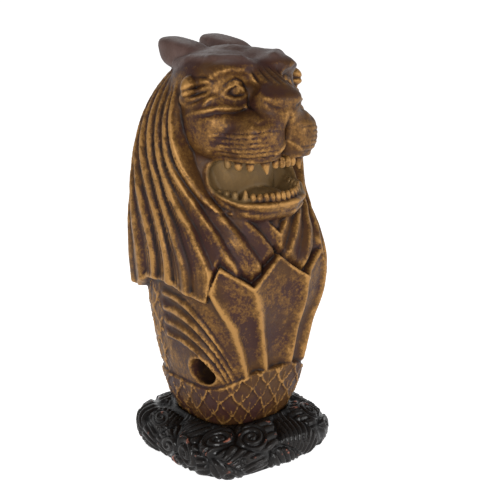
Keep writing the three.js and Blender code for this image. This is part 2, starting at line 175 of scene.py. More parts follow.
FINE_STEP = 2.45
FOOT_STEP = 2.8
COARSE_STEP = 4.0
GRID = (
    (-134.0, 134.0, [(-110.0, 110.0, FINE_STEP)]),
    (-140.0, 150.0, [(-140.0, -20.0, FINE_STEP)]),
    (50.0, 622.0, [(50.0, 155.0, FOOT_STEP), (400.0, 600.0, FINE_STEP)]),
)


# Curves and rounded forms

def ease(t):
    u = np.clip(t, 0, 1)
    return u * u * (3 - 2 * u)


def bump(x, width):
    return np.exp(-(x / width) ** 2)


def along(points, t):
    """Value at t on a smooth curve through the points."""
    at = np.array([p[0] for p in points], float)
    value = np.array([p[1] for p in points], float)
    slope = np.diff(value) / np.diff(at)
    tangent = np.zeros_like(value)
    same_way = slope[:-1] * slope[1:] > 0
    mean = 2 * slope[:-1] * slope[1:] / (slope[:-1] + slope[1:] + 1e-12)
    tangent[1:-1] = np.where(same_way, mean, 0)
    tangent[0] = slope[0]
    tangent[-1] = slope[-1]
    t = np.clip(t, at[0], at[-1])
    i = np.clip(np.searchsorted(at, t) - 1, 0, len(at) - 2)
    width = at[i + 1] - at[i]
    u = (t - at[i]) / width
    start = (2 * u**3 - 3 * u**2 + 1) * value[i] + (u**3 - 2 * u**2 + u) * width * tangent[i]
    end = (3 * u**2 - 2 * u**3) * value[i + 1] + (u**3 - u**2) * width * tangent[i + 1]
    return start + end


def between(points, t):
    """Value at t on straight lines through the points."""
    return np.interp(t, [p[0] for p in points], [p[1] for p in points])


def join(a, b, blend):
    h = np.clip(0.5 + 0.5 * (b - a) / blend, 0, 1)
    return b + (a - b) * h - blend * h * (1 - h)


def carve(a, b, blend):
    return -join(-a, b, blend)


def turned(x, y, degrees):
    c = math.cos(math.radians(degrees))
    s = math.sin(math.radians(degrees))
    return x * c - y * s, x * s + y * c


def block(p, centre, half, power=2.0, yaw=0.0, pitch=0.0, roll=0.0):
    """Distance to a rounded block about centre, turned in degrees."""
    x, y, z = (p[k] - centre[k] for k in range(3))
    x, y = turned(x, y, yaw)
    y, z = turned(y, z, -pitch)
    x, z = turned(x, z, -roll)
    q = [np.abs(v) / r + 1e-6 for v, r in zip((x, y, z), half)]
    total = q[0]**power + q[1]**power + q[2]**power
    steep = np.sqrt(sum((v**(power - 1) / r) ** 2 for v, r in zip(q, half)))
    return (total**(1 / power) - 1) / (total**(1 / power - 1) * steep + 1e-9)


def rod(p, points, radii, blend=0.0):
    """Distance to a string of rounded rods through the points, with a radius at each."""
    nearest = None
    for a, b, radius_a, radius_b in zip(points, points[1:], radii, radii[1:]):
        d = np.subtract(b, a).astype(float)
        v = [p[k] - a[k] for k in range(3)]
        h = np.clip((v[0] * d[0] + v[1] * d[1] + v[2] * d[2]) / (d @ d), 0, 1)
        away = np.sqrt(sum((v[k] - d[k] * h) ** 2 for k in range(3)))
        distance = away - (radius_a + (radius_b - radius_a) * h)
        if nearest is None:
            nearest = distance
        elif blend:
            nearest = join(nearest, distance, blend)
        else:
            nearest = np.minimum(nearest, distance)
    return nearest


def traced(u, v, points, width):
    """Height of a line through the points: one at its middle, less beside it and toward its ends."""
    nearest = np.full(u.shape, 99.0)
    share = np.zeros(u.shape)
    for i, ((u0, v0), (u1, v1)) in enumerate(zip(points, points[1:])):
        run = (u1 - u0, v1 - v0)
        h = np.clip(((u - u0) * run[0] + (v - v0) * run[1]) / (run[0] ** 2 + run[1] ** 2), 0, 1)
        away = np.hypot(u - u0 - run[0] * h, v - v0 - run[1] * h)
        share = np.where(away < nearest, (i + h) / (len(points) - 1), share)
        nearest = np.minimum(nearest, away)
    return bump(nearest, width) * (0.15 + 0.85 * np.sin(PI * share) ** 0.7)


def softly_squared(angle, half, depth, power):
    """Distance out from the axis to a softly squared oval, at an angle from the front."""
    across = np.abs(np.sin(angle) / half) ** power
    forward = np.abs(np.cos(angle) / depth) ** power
    return (across + forward) ** (-1 / power)


# Foot of the figure: leaves, swept ridges and the leafy band

def band_edge(angle):
    """Level of the foot band's upper edge, which rises under the leaves."""
    rise = BAND_FRONT_LEVEL - BAND_SIDE_LEVEL
    return BAND_SIDE_LEVEL + rise * ease((BAND_RISE_START - angle) / BAND_RISE_SPAN)


def leaf_angle(turn, level):
    """Angle from the middle of the tall leaves, which lean a little to one side."""
    degrees = np.degrees(turn)
    lean = between(LEAF_LEAN, level) * ease((90 - np.abs(degrees)) / 40)
    return np.abs(degrees - lean)


def leaf_relief(angle, level):
    """Three tall leaves on the front, standing proud of the mane, dished between raised edges."""
    inner = between(LEAF_INNER, level)
    outer = between(LEAF_OUTER, level)
    middle = (inner + outer) / 2
    half = (outer - inner) / 2
    on = ease((level - band_edge(angle) + 6) / 8)
    rims = bump(angle - inner, 4.2) + bump(angle - outer, 3.2)
    dishes = np.maximum(0, 1 - (angle / inner) ** 2) + np.maximum(0, 1 - ((angle - middle) / half) ** 2)
    tip_edge = bump(between(HEM, angle) - level - 4, 3.0) * ease((outer - angle) / 3)
    flare = LEAF_FLARE * ease((level - FLARE_START) / 60) * ease((outer + 4 - angle) / 3)
    carving = LEAF_RIM_HEIGHT * rims - LEAF_DISH_DEPTH * dishes + LEAF_TIP_HEIGHT * tip_edge
    return on * carving + flare


def ridge_place(forward, level):
    """Which swept ridge a point lies on, as a number that grows outward, and the ridges' spacing there."""
    u = np.abs(forward - RIDGE_BACK) + 1e-3
    v = np.maximum(level - RIDGE_LOW, 1e-3)
    index = np.full(u.shape, 1.5)
    for _ in range(6):
        reach = RIDGE_REACH[0] + RIDGE_REACH[1] * index
        rise = RIDGE_RISE[0] + RIDGE_RISE[1] * index
        across = (u / reach) ** RIDGE_POWER
        above = (v / rise) ** RIDGE_POWER
        miss = across + above - 1
        steep = RIDGE_POWER * (across * RIDGE_REACH[1] / reach + above * RIDGE_RISE[1] / rise)
        index = np.clip(index + miss / steep, -2.8, 9)
    slope = RIDGE_POWER * np.hypot(across / u, above / v)
    return index, steep / slope


def swept_relief(forward, angle, front_angle, level):
    """Ridges on each side, swept over the drilled hole, and the hole's raised lip."""
    index, spacing = ridge_place(forward, level)
    nearest = np.clip(np.round(index), 0, RIDGE_COUNT - 1)
    hollow = ease((index + 0.6) / 0.3) * ease((RIDGE_COUNT - 0.4 - index) / 0.3)
    ridge = bump(index - nearest, RIDGE_WIDTH) - RIDGE_GROUND * hollow
    within = ease((front_angle - between(LEAF_OUTER, level)) / 4) * ease((SIDE_END + 2 - angle) / 6)
    within = within * ease((level - band_edge(angle)) / 5)
    from_drill = np.hypot(forward - DRILL_FORWARD, level - DRILL_LEVEL)
    lip = bump(from_drill - DRILL_RADIUS - LIP_WIDTH, LIP_WIDTH)
    height = RIDGE_HEIGHT * np.clip(spacing / RIDGE_FULL_SPACING, 0.45, 1)
    return within * (height * ridge + LIP_HEIGHT * lip)


def leaf_tiles(u, v):
    """Height and outline of overlapping pointed leaves, one to a unit of u and of v, tips downward."""
    height = np.zeros(u.shape)
    outline = np.zeros(u.shape)
    for step in (0, 1):
        row = np.floor(v) + step
        shifted = u + 0.5 * (row % 2)
        across = shifted - np.floor(shifted) - 0.5
        down = (row + 1 - v) / 2
        half = 0.5 - 0.5 * np.clip((down - TIP_START) / (1 - TIP_START), 0, 1) ** TIP_POWER
        edge = half - np.abs(across)
        inside = (edge > 0) & (down < 1)
        midrib = 0.7 * bump(across, 0.035) * ease((down - 0.4) * 4) * ease((1 - down) * 8)
        rim = bump(edge - 0.03, 0.065) + midrib
        leaf = 0.1 + 0.45 * down + 0.5 * rim
        height = np.where(inside, leaf, height)
        outline = np.where(inside, rim, outline)
    return height, outline


def leaf_pattern(turn, level):
    """Height and outline of the small leaves on the foot band and on the back, in wavering rows."""
    angle = np.degrees(np.abs(turn))
    edge = band_edge(angle)
    on_band = ease((edge - level) / 3.5)
    on_back = ease((angle - SIDE_END - 1) / 4) * ease((level - edge) / 4)
    around = turn / (2 * PI) + 0.0035 * np.sin(level / 9.0 + 5 * turn)
    wavering = level + 2.2 * np.sin(7 * turn) + 1.4 * np.sin(17 * turn)
    band, band_outline = leaf_tiles(around * BAND_LEAVES + 0.25, wavering / BAND_ROW)
    back, back_outline = leaf_tiles(around * BACK_LEAVES, wavering / BACK_ROW)
    band_height = BAND_THICKNESS - BAND_GROUND + SMALL_LEAF_HEIGHT * band
    back_height = SMALL_LEAF_HEIGHT * back - BACK_GROUND
    return on_band * band_height + on_back * back_height, on_band * band_outline + on_back * back_outline


def stem_reach(x, forward, level):
    """Distance from the axis to the carved body, in the direction of each point."""
    turn = np.arctan2(x, forward)
    angle = np.degrees(np.abs(turn))
    front_angle = leaf_angle(turn, level)
    half = along(BODY_HALF, level)
    depth = np.where(forward > 0, along(BODY_FRONT, level), along(BODY_BACK, level))
    plain = softly_squared(turn, half, depth, BODY_POWER)
    leaves = leaf_pattern(turn, level)[0]
    relief = leaf_relief(front_angle, level) + swept_relief(forward, angle, front_angle, level)
    return plain + leaves + relief


def stem_distance(x, forward, level):
    """Distance to the body, scaled down to allow for the slopes of its surface."""
    front_angle = leaf_angle(np.arctan2(x, forward), level)
    out = (np.hypot(x, forward) - stem_reach(x, forward, level)) * 0.85
    on_leaf = front_angle < between(LEAF_OUTER, level) + 3.5
    leaf_top = np.where(on_leaf, between(HEM, front_angle), STEM_TOP)
    top = np.maximum(DRAWN_FOOT - level, (level - leaf_top) * 0.75)
    return carve(out, -top, 1.2)


# Mane

def mane_locks(angle, level):
    """Height of the mane's locks, from none to one, and of the gouged lines in them."""
    start = along(FIRST_LOCK, level)
    lock = LOCK_COUNT * (angle - start) / (180 - start)
    sway = 0.05 * np.sin(level / 31.0 + 2.1 * np.floor(lock))
    t = np.clip(lock - np.floor(lock) + sway * ease((lock - np.floor(lock)) * 3), 0, 1)
    falling = 1 - np.clip((t - STRAND_EDGE) / (1 - STRAND_EDGE), 0, 1) ** 1.3
    strand = np.where(t < STRAND_EDGE, ease(t / STRAND_EDGE), falling)
    gouge = bump(t - 0.52, 0.06) + bump(t - 0.76, 0.055)
    on_side = ease((angle - 50) / 45) * ease(lock / 0.5)
    return strand, SIDE_GOUGE_DEPTH * on_side * gouge, GOUGE_DEPTH * gouge


def mane_distance(x, forward, level):
    """Distance to the mane, cut open at the face and behind the tall leaves."""
    turn = np.arctan2(x, forward)
    angle = np.degrees(np.abs(turn))
    rise = np.clip((level - SHOULDER_LEVEL) / (CROWN_LEVEL - SHOULDER_LEVEL), 0, 1)
    dome = np.sqrt(np.clip(1 - rise**2, 0, 1))
    low = np.minimum(level, SHOULDER_LEVEL)
    half = along(MANE_HALF, low) * dome + 1
    depth = np.where(forward > 0, along(MANE_FRONT, low), along(MANE_BACK, low)) * dome + 1
    power = np.where(forward > 0, along(MANE_POWER_FRONT, level), along(MANE_POWER_BACK, level))
    plain = softly_squared(turn, half, depth, power)
    front_angle = leaf_angle(turn, level)
    hem = between(HEM, front_angle)
    fold = ease((front_angle - FOLD_START) / 6) * ease((FOLD_END - front_angle) / 20)
    deep = (0.35 + 0.65 * ease((600 - level) / 150)) * LOCK_DEPTH
    deep = deep * (1 - 0.5 * fold * ease((hem + 12 - level) / 12))
    strand, side_gouges, gouges = mane_locks(angle, level)
    outer = plain + deep * (strand - STRAND_GROUND) - side_gouges - gouges
    outer = outer + FOLD_HEIGHT * fold * bump(level - hem - 4, 4)
    edge = along(FACE_EDGE, level)
    opened = ease((edge - angle) / 7)
    rim = FACE_RIM_HEIGHT * bump(angle - edge - 3, 3.2) * ease((level - 372) / 12)
    reach = (outer + rim) * (1 - opened) + np.minimum(outer, FACE_REACH) * opened
    under_leaf = ease((between(LEAF_OUTER, level) + 2 - front_angle) / 3)
    reach = reach - UNDER_LEAF_DEPTH * under_leaf * ease((hem + 20 - level) / 22)
    sides = (np.hypot(x, forward) - reach) * 0.8
    bottom = hem - 8 * under_leaf
    return carve(sides, -np.maximum((bottom - level) * 0.8, level - CROWN_LEVEL - 2), 2.5)


# Head: the parts of its right half, in drawn units, mirrored on the left

MOUTH_CENTRE = (0, 80, 429)
MOUTH_HALF = (76, 66, 30)
MOUTH_POWER = 2.9
BRIDGE_BREADTH = 1.6
LIP_CUT = 3.2
CREST_CENTRE = (37, -54, 587)
CREST_LEAN = 0.45


def joined(first, others):
    """The first distance joined with the others in turn, each with its own blend."""
    for other, blend in others:
        first = join(first, other, blend)
    return first


def skull_distance(p):
    skull = block(p, (0, 2, 530), (91, 76, 68), 2.4)
    temple = block(p, (36, 10, 566), (46, 58, 31))
    brow = block(p, (41, 53, 580), (34, 22, 13), roll=-6, yaw=22)
    bridge = rod((p[0] / BRIDGE_BREADTH, p[1], p[2]), [(0, 58, 568), (0, 102, 548)], [18, 16])
    snout = block(p, (0, 94, 520), (36, 38, 26))
    muzzle = block(p, (28, 86, 489), (38, 46, 36), 2.5, yaw=6)
    upper_lip = block(p, (37, 66, 484), (32, 44, 30))
    cheek = block(p, (58, 34, 500), (38, 44, 46))
    cheekbone = rod(p, [(60, 58, 530), (90, 20, 538)], [8, 11])
    upper = joined(skull, ((temple, 14), (brow, 11), (bridge, 10), (snout, 12)))
    return joined(upper, ((muzzle, 10), (upper_lip, 12), (cheek, 14), (cheekbone, 10)))


def jaw_distance(p):
    arc = [(0, 103, 391), (22, 100, 391), (42, 88, 393), (56, 66, 400), (66, 40, 412), (72, 18, 430)]
    lower_lip = rod(p, arc, [15, 15, 15, 14, 14, 16], 10)
    chin = block(p, (0, 44, 382), (60, 62, 18), 2.4)
    hinge = block(p, (64, 10, 440), (26, 32, 46))
    return joined(lower_lip, ((chin, 12), (hinge, 12)))


# Teeth in rows: the level, the half sizes of one tooth, and each tooth's place across and forward

TEETH = (
    (455, (4.8, 4.8, 8), ((5, 120), (15, 118))),
    (452, (5.4, 6, 8.5), ((44, 99), (52, 84), (58, 68))),
    (404, (4.5, 4.8, 9), ((4.6, 111), (13.8, 110), (22.8, 107.6), (31, 104), (38.5, 99))),
    (408, (4.8, 5.4, 7.5), ((55, 80), (60, 68), (64, 56), (67, 44))),
)


def teeth_distance(p):
    upper_fang = rod(p, [(29, 112, 459), (29, 117, 442)], [8, 1.8])
    lower_fang = rod(p, [(47, 92, 402), (48, 94, 417)], [6, 1.6])
    d = np.minimum(upper_fang, lower_fang)
    for level, half, places in TEETH:
        for across, forward in places:
            d = np.minimum(d, block(p, (across, forward, level), half))
    return d


# Lines on the face: points as arc from its middle and level, a height, negative for a cut, and a width

ARC_PER_DEGREE = 1.5

FACE_LINES = (
    ([(32, 543), (40, 554), (49, 558), (58, 555), (68, 547)], 2.6, 2.4),
    ([(30, 550), (39, 562), (49, 567), (61, 562), (72, 551)], -2.8, 2.0),
    ([(32, 543), (42, 540), (51, 540), (60, 543), (68, 547)], 2.0, 2.2),
    ([(26, 534), (46, 528), (70, 530), (94, 524), (118, 515)], 3.4, 3.4),
    ([(30, 527), (50, 521), (74, 522), (96, 516)], -2.6, 3.0),
    ([(20, 566), (38, 577), (56, 581), (74, 575), (94, 560)], 3.6, 5.0),
    ([(78, 562), (90, 568), (110, 568)], -2.4, 2.4),
    ([(0, 558), (0, 580)], -2.8, 2.4),
    ([(9, 560), (11, 580)], -2.4, 2.0),
    ([(18, 558), (25, 576)], -2.6, 2.0),
    ([(27, 520), (32, 531), (29, 545)], -3.0, 2.4),
    ([(9, 531), (17, 533), (24, 541)], -2.6, 2.0),
    ([(22, 514), (32, 510), (42, 518)], -2.0, 3.0),
    ([(0, 524), (0, 486)], -3.6, 2.2),
    ([(0, 486), (8, 476), (21, 463)], 3.2, 2.8),
    ([(86, 560), (100, 556), (116, 549)], -3.6, 2.2),
    ([(86, 551), (100, 546), (114, 540)], -3.2, 2.2),
    ([(88, 543), (100, 537), (112, 532)], -2.6, 2.0),
    ([(74, 545), (84, 540), (92, 530)], 2.6, 2.6),
    ([(40, 512), (60, 500), (74, 482), (82, 462)], -1.8, 4.0),
    ([(44, 470), (60, 478), (78, 474), (92, 462)], 1.6, 3.0),
    ([(20, 408), (44, 402), (64, 412), (80, 430)], -1.8, 2.4),
    ([(0, 384), (26, 386), (52, 392), (76, 408), (92, 430)], -2.4, 2.6),
)


def face_lines(p):
    side, forward, level = p
    arc = ARC_PER_DEGREE * np.degrees(np.arctan2(side, np.maximum(forward, 1.0)))
    on_face = ease((forward - 4) / 12)
    return on_face * sum(height * traced(arc, level, points, width) for points, height, width in FACE_LINES)


# Eyes and whisker cuts

IRIS_CENTRE = (43.7, 69.7, 550)
IRIS_RADIUS = 6.5
WHISKER_LEVEL = 463
WHISKER_SPACING = 6.8
WHISKER_LAST = 5.3
WHISKER_DEPTH = 2.4


def eye_details(p, d):
    """The face with an eye set into it, its iris a raised ring round a raised dot."""
    side, forward, level = p
    socket = block(p, (42, 82, 551), (20, 19, 11), roll=-8, yaw=26)
    ball = block(p, (38, 58, 550), (16, 13, 10), yaw=26)
    d = np.minimum(carve(d, socket, 7), ball)
    across = (side - IRIS_CENTRE[0]) * 0.9 - (forward - IRIS_CENTRE[1]) * 0.44
    iris = np.hypot(across, level - IRIS_CENTRE[2])
    on_eye = (forward > 50) & (forward < 80)
    return np.where(on_eye, d + 0.8 * bump(iris - IRIS_RADIUS, 1.4) + 1.2 * bump(iris, 2.4), d)


def whisker_cuts(p):
    side, forward, level = p
    from_lip = forward - 90
    line = (level - 0.06 * from_lip - 0.0016 * from_lip**2 - WHISKER_LEVEL) / WHISKER_SPACING
    cut = (1 - np.abs(np.sin(PI * line))) ** 2
    zone = ease((forward - 60) / 14) * ease((134 - forward) / 8) * ease((line + 0.3) / 0.3)
    zone = zone * ease((WHISKER_LAST - line) / 0.3) * ease((side - 16) / 6)
    return (WHISKER_DEPTH * cut - 0.7) * zone


def head_distance(x, forward, level):
    p = (np.abs(x), forward, level)
    nose = block(p, (0, 103, 540), (34, 25, 17), 2.8, pitch=-16)
    ear = block(p, (91, 25, 553), (18, 10, 17), yaw=-30, roll=-24)
    mouth = block(p, MOUTH_CENTRE, MOUTH_HALF, MOUTH_POWER)
    tongue = block(p, (0, 62, 399), (30, 44, 12), pitch=6)
    groove = rod(p, [(0, 30, 413), (0, 108, 412)], [3.5, 3.5])
    cap = rod(p, [(30, 60, 590), (58, 34, 588), (64, -6, 584), (62, -44, 578)], [6, 8, 8, 6], 5)
    leaning = (p[0], forward + CREST_LEAN * (level - CREST_CENTRE[2]), level)
    crest = block(leaning, CREST_CENTRE, (22, 50, 23), 3.2, pitch=-6)
    d = joined(skull_distance(p), ((jaw_distance(p), 6), (nose, 5)))
    d = join(eye_details(p, d), ear, 4)
    d = d - face_lines(p) + whisker_cuts(p) - LIP_CUT * bump(mouth - 5, 3.6)
    d = carve(d, mouth, 3)
    return joined(d, ((teeth_distance(p), 1.5), (carve(tongue, groove, 3), 3), (cap, 8), (crest, 6)))


def figure_distance(points):
    """Distance from each point, in drawn units with the front along -Y, to the figure's surface."""
    x = points[:, 0]
    forward = -points[:, 1]
    level = points[:, 2]
    d = np.full(len(points), 1000.0)
    low = level < BODY_END
    d[low] = stem_distance(x[low], forward[low], level[low])
    high = level > MANE_START
    d[high] = np.minimum(d[high], mane_distance(x[high], forward[high], level[high]))
    head = level > HEAD_START
    d[head] = join(d[head], head_distance(x[head], forward[head], level[head]), 4)
    near = level < DRILL_END
    from_centre = np.hypot(forward[near] - DRILL_FORWARD, level[near] - DRILL_LEVEL)
    hole = carve(from_centre - DRILL_RADIUS, np.abs(x[near]) - DRILL_FACE + DRILL_DEPTH, 6)
    d[near] = carve(d[near], hole, 3)
    return d


# Meshing

FAR = 50.0


def graded(low, high, closer):
    """Grid lines from low to high, closer together within spans, each with its own step."""
    lines = [low]
    while lines[-1] < high:
        steps = [step for start, end, step in closer if start <= lines[-1] <= end]
        lines.append(lines[-1] + (steps[0] if steps else COARSE_STEP))
    return np.array(lines)


def sample(distance, axes, size=12):
    """Distance on the grid, worked out only in the blocks that the surface may cross."""
    values = np.full([len(a) for a in axes], FAR)
    starts = np.array([(i, j, k) for i in range(0, len(axes[0]), size)
                       for j in range(0, len(axes[1]), size)
                       for k in range(0, len(axes[2]), size)])
    ends = np.minimum(starts + size, values.shape) - 1
    low = np.stack([axes[k][starts[:, k]] for k in range(3)], axis=1)
    high = np.stack([axes[k][ends[:, k]] for k in range(3)], axis=1)
    middle = distance((low + high) / 2)
    radius = np.linalg.norm(high - low, axis=1) / 2
    for start, value, reach in zip(starts, middle, radius):
        place = tuple(slice(s, s + size) for s in start)
        if abs(value) > 1.3 * reach + 6:
            values[place] = math.copysign(FAR, value)
            continue
        grid = np.meshgrid(*(axes[k][place[k]] for k in range(3)), indexing="ij")
        points = np.stack([g.ravel() for g in grid], axis=1)
        values[place] = distance(points).reshape(grid[0].shape)
    return values


def surface_cells(values, axes):
    """One point in each grid cell that the surface crosses, and a quad across each crossed edge."""
    inside = values < 0
    shape = values.shape
    corners = [(i, j, k) for i in (0, 1) for j in (0, 1) for k in (0, 1)]
    window = [inside[i:shape[0] - 1 + i, j:shape[1] - 1 + j, k:shape[2] - 1 + k] for i, j, k in corners]
    count = sum(w.astype(np.int8) for w in window)
    cell = np.stack(np.nonzero((count > 0) & (count < 8)), axis=1)
    index = np.full([n - 1 for n in shape], -1, np.int64)
    index[tuple(cell.T)] = np.arange(len(cell))
    total = np.zeros((len(cell), 3))
    crossed = np.zeros(len(cell))
    for a in corners:
        for b in corners:
            if b <= a or sum(abs(p - q) for p, q in zip(a, b)) != 1:
                continue
            at_a = cell + a
            at_b = cell + b
            value_a = values[tuple(at_a.T)]
            value_b = values[tuple(at_b.T)]
            cut = (value_a < 0) != (value_b < 0)
            t = np.where(cut, value_a / np.where(cut, value_a - value_b, 1), 0)[:, None]
            point_a = np.stack([axes[k][at_a[:, k]] for k in range(3)], axis=1)
            point_b = np.stack([axes[k][at_b[:, k]] for k in range(3)], axis=1)
            total += np.where(cut[:, None], point_a + (point_b - point_a) * t, 0)
            crossed += cut
    quads = []
    for axis in range(3):
        low = [slice(1, n - 1) for n in shape]
        low[axis] = slice(0, shape[axis] - 1)
        high = list(low)
        high[axis] = slice(1, shape[axis])
        first = inside[tuple(low)]
        edge = np.stack(np.nonzero(first != inside[tuple(high)]), axis=1)
        leaving = first[tuple(edge.T)]
        edge = edge + [s.start for s in low]
        u = (axis + 1) % 3
        v = (axis + 2) % 3
        ring = []
        for back_u, back_v in ((1, 1), (0, 1), (0, 0), (1, 0)):
            at = edge.copy()
            at[:, u] -= back_u
            at[:, v] -= back_v
            ring.append(index[tuple(at.T)])
        quad = np.stack(ring, axis=1)
        quad[~leaving] = quad[~leaving][:, ::-1]
        quads.append(quad)
    return total / crossed[:, None], np.concatenate(quads)


def settled(distance, points, rounds=3, step=0.4, limit=1.2):
    """Points moved onto the surface."""
    for _ in range(rounds):
        value = distance(points)
        slopes = []
        for offset in np.eye(3) * step:
            slopes.append((distance(points + offset) - distance(points - offset)) / (2 * step))
        slope = np.stack(slopes, axis=1)
        move = (value / ((slope**2).sum(1) + 1e-6))[:, None] * slope
        length = np.linalg.norm(move, axis=1, keepdims=True)
        points = points - move * np.minimum(1, limit / np.maximum(length, 1e-9))
    return points


def mesh_object(name, points, faces, attributes):
    mesh = bpy.data.meshes.new(name)
    mesh.from_pydata(points.tolist(), [], [list(face) for face in faces])
    mesh.update()
    mesh.shade_smooth()
    for key, values in attributes.items():
        layer = mesh.attributes.new(key, "FLOAT", "POINT")
        layer.data.foreach_set("value", values.astype(np.float32))
    piece = bpy.data.objects.new(name, mesh)
    bpy.context.scene.collection.objects.link(piece)
    return piece


def point_normals(points, quads):
    a, b, c, d = (points[quads[:, k]] for k in range(4))
    face = np.cross(c - a, d - b)
    normal = np.zeros_like(points)
    for k in range(4):
        for axis in range(3):
            normal[:, axis] += np.bincount(quads[:, k], face[:, axis], len(points))
    return normal / (np.linalg.norm(normal, axis=1, keepdims=True) + 1e-12)


def neighbour_mean(places, quads):
    """Mean place of each point's neighbours along the quads' edges."""
    count = len(places)
    a = quads.ravel()
    b = np.roll(quads, -1, axis=1).ravel()
    ends = np.concatenate([a, b])
    others = np.concatenate([b, a])
    number = np.bincount(ends, minlength=count)
    columns = [np.bincount(ends, places[others, k], count) for k in range(3)]
    return np.stack(columns, axis=1) / np.maximum(number, 1)[:, None]


def ridges(points, quads, normals, rounds):
    """How far each point stands above its surroundings, in drawn units."""
    smooth = points
    for _ in range(rounds):
        smooth = neighbour_mean(smooth, quads)
    return ((points - smooth) * normals).sum(1)


# Figure

MOUTH_SPREAD = 5
FINE_ROUNDS = 3
BROAD_ROUNDS = 15
BOX_GAP = 1e-5
CROWN_RUB = 1.0
CHEST_RUB = 0.6
BAND_RUB = 0.9
LEAF_RUB = 0.15
LEAF_RIM_GOLD = 0.75
OUTLINE_GOLD = 1.5
FACE_RUB = 0.35
NOSE_RUB = 1.3


def rubbed_share(turn, p):
    """How far the gilding is rubbed through at each point, negative where it stays thick."""
    forward, level = p[1:]
    front_angle = leaf_angle(turn, level)
    inner = between(LEAF_INNER, level)
    outer = between(LEAF_OUTER, level)
    hem = between(HEM, front_angle)
    edge = band_edge(front_angle)
    on_leaf = ease((outer + 6 - front_angle) / 3) * ease((hem - level) / 3)
    on_leaf = on_leaf * ease((level - edge) / 5)
    rims = bump(front_angle - inner, 5) + bump(front_angle - outer, 4)
    outlines = leaf_pattern(turn, level)[1]
    nose = -block(p, (0, 104, 549), (30, 24, 10), 2.8, pitch=-16) + 3
    rubbed = CROWN_RUB * ease((level - 562) / 16) + CHEST_RUB * bump(level - 335, 32) * ease(forward / 40)
    rubbed = rubbed + BAND_RUB * ease((edge - level) / 5) + on_leaf * (LEAF_RUB - LEAF_RIM_GOLD * rims)
    rubbed = rubbed - OUTLINE_GOLD * outlines * (level < hem)
    rubbed = rubbed + FACE_RUB * ease((forward - 70) / 25) * ease((level - 440) / 20)
    return rubbed + NOSE_RUB * ease(nose / 4)


def figure_attributes(points, quads):
    """What the gilding reads at each point: wear; ridges, whose hollows also take painted shade; and the
    shares of the mouth, of the crown with its painted sheen, and of the hole with its painted shade.
    """
    p = (np.abs(points[:, 0]), -points[:, 1], points[:, 2])
    side, forward, level = p
    normals = point_normals(points, quads)
    grown = tuple(h + MOUTH_SPREAD for h in MOUTH_HALF)
    in_mouth = ease(-block(p, MOUTH_CENTRE, grown, MOUTH_POWER) / 4 + 0.3)
    in_mouth = in_mouth * ease((108 - forward - 0.5 * (level - 400)) / 14)
    cap_edge = 584 - 18 * ease((10 - forward) / 40)
    from_drill = np.hypot(forward - DRILL_FORWARD, level - DRILL_LEVEL)
    # Painted shade: a mask that lays near black over the drilled hole
    hole_shade = ease((DRILL_RADIUS + 2 - from_drill) / 3)
    hole_shade = hole_shade * (side > 20) * ease((90 - side) / 8)
    return {
        "rubbed": rubbed_share(np.arctan2(points[:, 0], forward), p),
        "fine_ridge": ridges(points, quads, normals, FINE_ROUNDS),
        "broad_ridge": ridges(points, quads, normals, BROAD_ROUNDS),
        "mouth": in_mouth,
        "crown": ease((level - cap_edge) / 8),
        "drill": hole_shade,
    }


def in_frame(points):
    """Drawn points in the frame's metres, kept inside the CAD figure's box."""
    world = points.copy()
    world[:, 2] -= DRAWN_FOOT
    world *= UNIT
    world[:, 2] += figure_low[2]
    return np.clip(world, np.array(figure_low) + BOX_GAP, np.array(figure_high) - BOX_GAP)


def build_figure():
    axes = [graded(*span) for span in GRID]
    points, quads = surface_cells(sample(figure_distance, axes), axes)
    points = settled(figure_distance, points)
    piece = mesh_object("gilt_figure", in_frame(points), quads, figure_attributes(points, quads))
    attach(piece, "root")
    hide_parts("figure")
    return piece


# Plinth, in metres: its side's inset and level from the foot up to the flat seat

PLINTH_COLUMNS = 460
PLINTH_ROWS = 84
PLINTH_POWER = 3.8
SEAT_POWER = 3.0
SEAT_REACH = 0.078
SEAT_GAP = 0.0003
SEAT_RING_SHARE = 0.96
PLINTH_GAP = 0.0002
PLINTH_HALF = plinth_high[0] - 0.0035
PLINTH_TOP = plinth_high[2]
PLINTH_PROFILE = [
    (-0.011, 0.0), (-0.004, 0.008), (-0.001, 0.018), (0.0, 0.030), (-0.002, 0.040), (-0.008, 0.047),
    (-0.018, 0.052), (-0.032, PLINTH_TOP - 0.007), (SEAT_REACH - PLINTH_HALF, PLINTH_TOP - 0.003),
]

# Curls on the plinth: for each ring of them, its place up the side as a share, how many, and their size

CURL_SEED = 11
CURL_ROWS = ((0.12, 9, 0.034), (0.38, 10, 0.038), (0.70, 8, 0.034))
CURL_PITCH = 0.0088
CURL_RELIEF = 0.0046
CURL_GROUND = 0.8
CURL_BOW = 6.0
CURL_PARTING = 0.22
SWELL_RELIEF = 0.0055
CARVING_DEPTH = 0.0022
FADE_ROWS_LOW = 4.0
FADE_ROWS_HIGH = 8.0


def plinth_base():
    """Rows of points up the plinth's side and over its top, without carving."""
    lengths = [0.0]
    for a, b in zip(PLINTH_PROFILE, PLINTH_PROFILE[1:]):
        lengths.append(lengths[-1] + math.dist(a, b))
    rows = np.linspace(0, lengths[-1], PLINTH_ROWS)
    inset = along(list(zip(lengths, [p[0] for p in PLINTH_PROFILE])), rows)
    level = along(list(zip(lengths, [p[1] for p in PLINTH_PROFILE])), rows)
    angle = np.linspace(0, 2 * PI, PLINTH_COLUMNS, endpoint=False)
    rings = []
    for i in range(len(rows)):
        toward_seat = ease(-inset[i] / (PLINTH_HALF - SEAT_REACH))
        power = PLINTH_POWER + (SEAT_POWER - PLINTH_POWER) * toward_seat
        reach = softly_squared(angle, PLINTH_HALF + inset[i], PLINTH_HALF + inset[i], power)
        ring = [reach * np.sin(angle), -reach * np.cos(angle), np.full(len(angle), level[i])]
        rings.append(np.stack(ring, axis=1))
    return np.array(rings)


